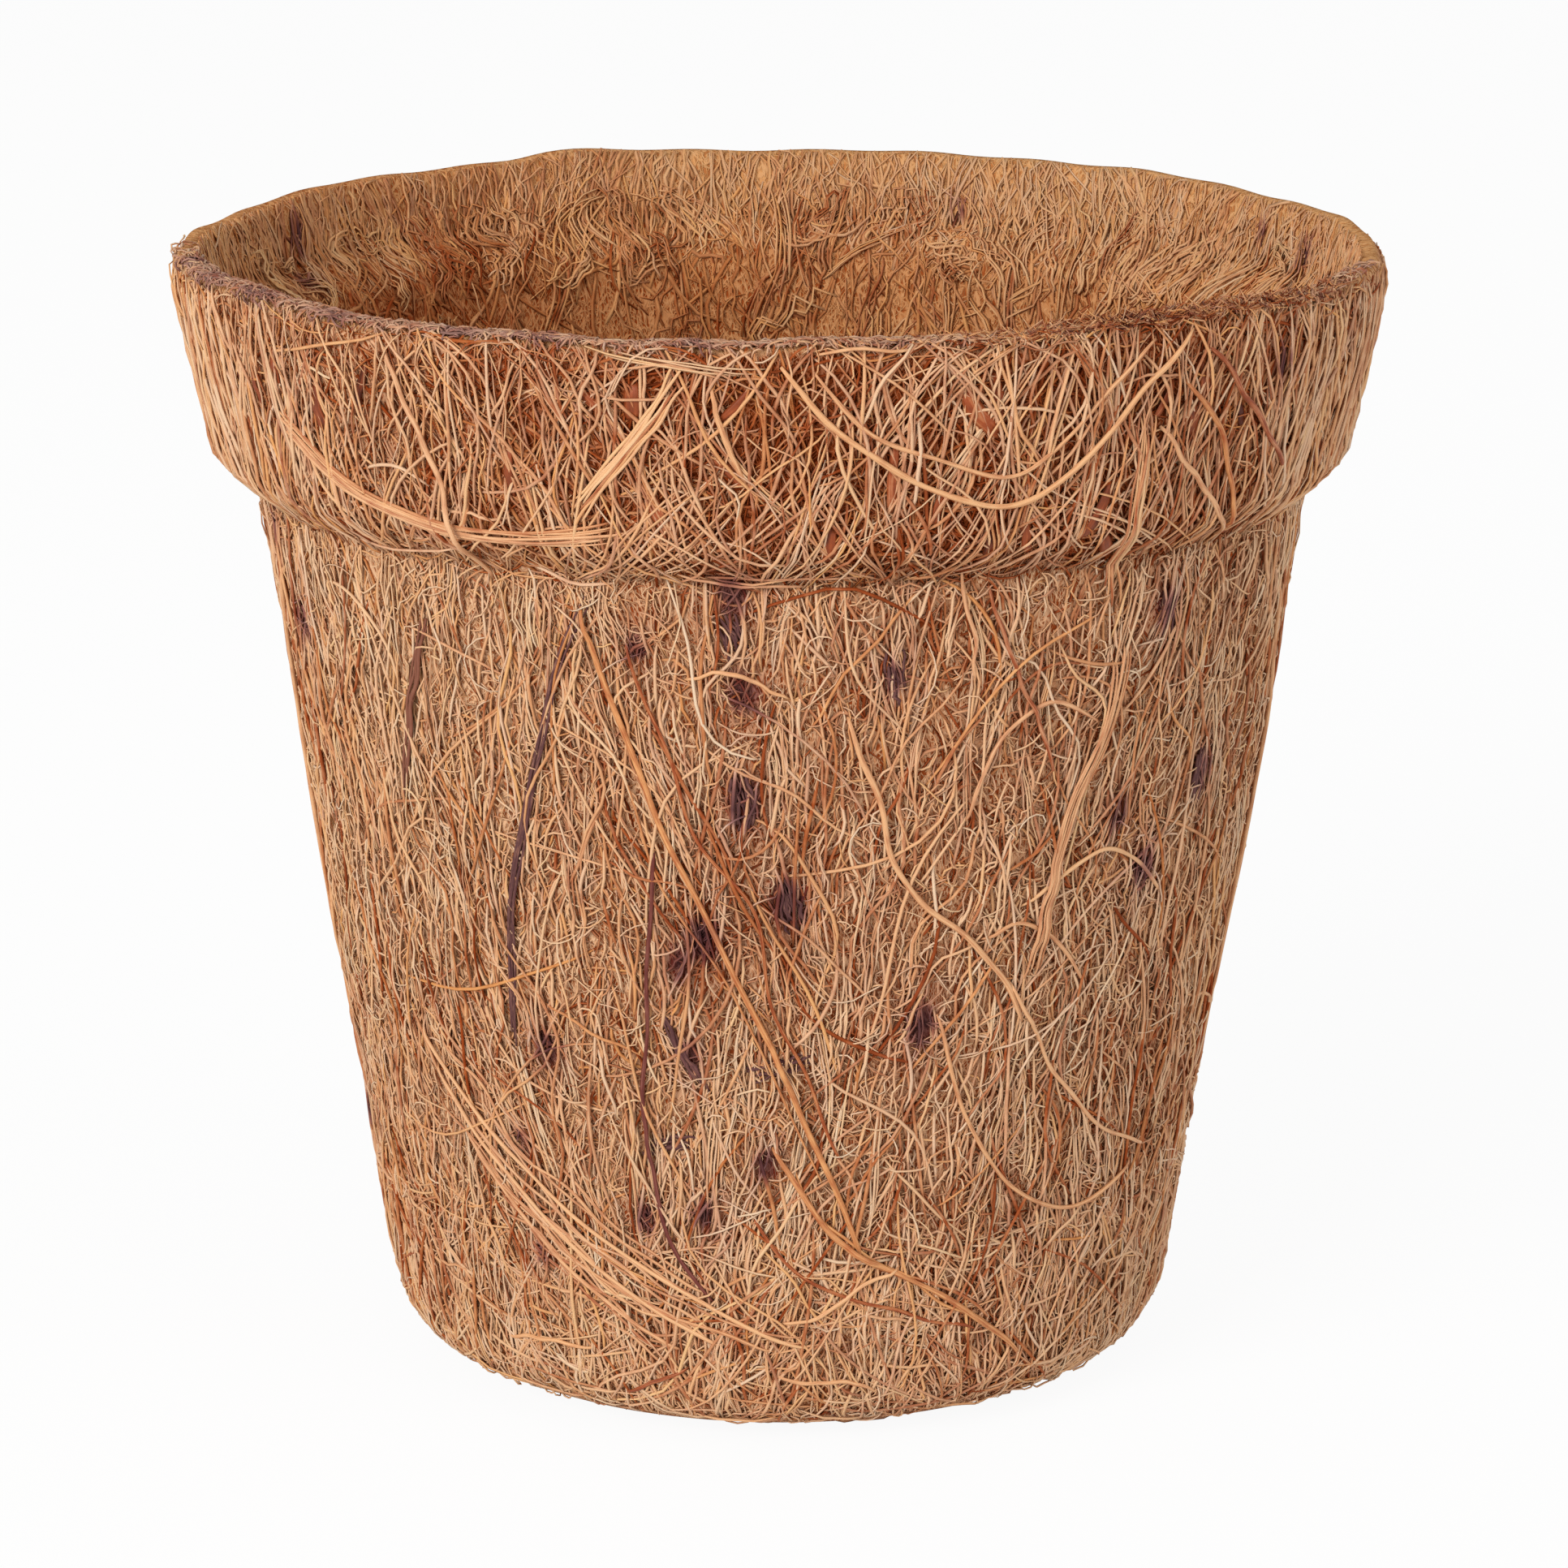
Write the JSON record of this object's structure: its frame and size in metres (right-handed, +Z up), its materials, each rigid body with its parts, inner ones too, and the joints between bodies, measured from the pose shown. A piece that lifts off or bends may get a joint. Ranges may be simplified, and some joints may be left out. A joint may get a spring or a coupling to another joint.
{
  "type": "plant pot",
  "caption": "Round tapered plant pot of pressed coir felt with a stepped collar, trimmed open rim, rounded heel and closed base, with coarse strands and husk strips lying on the felt.",
  "frame": {"origin": "middle of the standing face under the base", "axes": "+Z up the axis of the pot, -Y towards the side that the picture shows, +X to its right"},
  "size_m": [0.0996, 0.1001, 0.0935],
  "materials": {
    "coir_felt": "matt fibre felt, tan with brown gaps",
    "coir_felt_inside": "matt fibre felt, orange brown",
    "strand_light": "pale coarse fibre with a slight sheen",
    "strand_tan": "tan coarse fibre with a slight sheen",
    "strand_orange": "orange brown coarse fibre with a slight sheen",
    "strand_brown": "dark brown coarse fibre",
    "husk": "matt dark husk skin"
  },
  "bodies": {
    "root": {"wall_felt": "coir_felt", "base_felt": "coir_felt_inside", "collar_foot_bundle": "strand_orange", "collar_left_strand": "strand_tan", "collar_front_bundle": "strand_light", "collar_short_strand": "strand_tan", "collar_arc_outer": "strand_light", "collar_arc_inner": "strand_tan", "collar_right_hook": "strand_tan", "collar_right_strand": "strand_orange", "collar_dark_strand": "strand_brown", "collar_step_bundle": "strand_light", "wall_long_diagonal": "strand_orange", "wall_dark_hook": "strand_brown", "wall_short_arc": "strand_light", "wall_s_curve": "strand_orange", "wall_branch": "strand_tan", "wall_light_arc": "strand_light", "wall_right_hook": "strand_tan", "wall_right_bundle": "strand_light", "wall_red_strand": "strand_brown", "wall_thin_drop": "strand_tan", "wall_lower_loop": "strand_tan", "wall_inner_loop": "strand_light", "heel_sweep_upper": "strand_light", "heel_sweep_middle": "strand_light", "heel_sweep_lower": "strand_tan", "heel_diagonal": "strand_orange", "heel_left_strand": "strand_light", "heel_short_strand": "strand_brown", "heel_wave": "strand_tan", "heel_arc": "strand_light", "left_collar_strand": "strand_tan", "left_wall_strand": "strand_light", "left_heel_arc": "strand_tan", "right_collar_strand": "strand_orange", "right_wall_strand": "strand_tan", "right_heel_arc": "strand_light", "back_collar_arc": "strand_light", "back_collar_bundle": "strand_orange", "back_wall_diagonal": "strand_orange", "back_wall_wave": "strand_tan", "back_wall_loop": "strand_light", "back_heel_sweep": "strand_tan", "husk_long_strip": "husk", "husk_left_strip": "husk", "husk_slant_strip": "husk", "husk_cross_strip": "husk", "husk_low_strip": "husk", "husk_collar_flake": "husk", "husk_wall_flake": "husk", "husk_middle_flake": "husk", "husk_upper_flake": "husk", "husk_right_flake": "husk", "husk_side_flake": "husk", "husk_back_strip": "husk"}
  },
  "joints": []
}
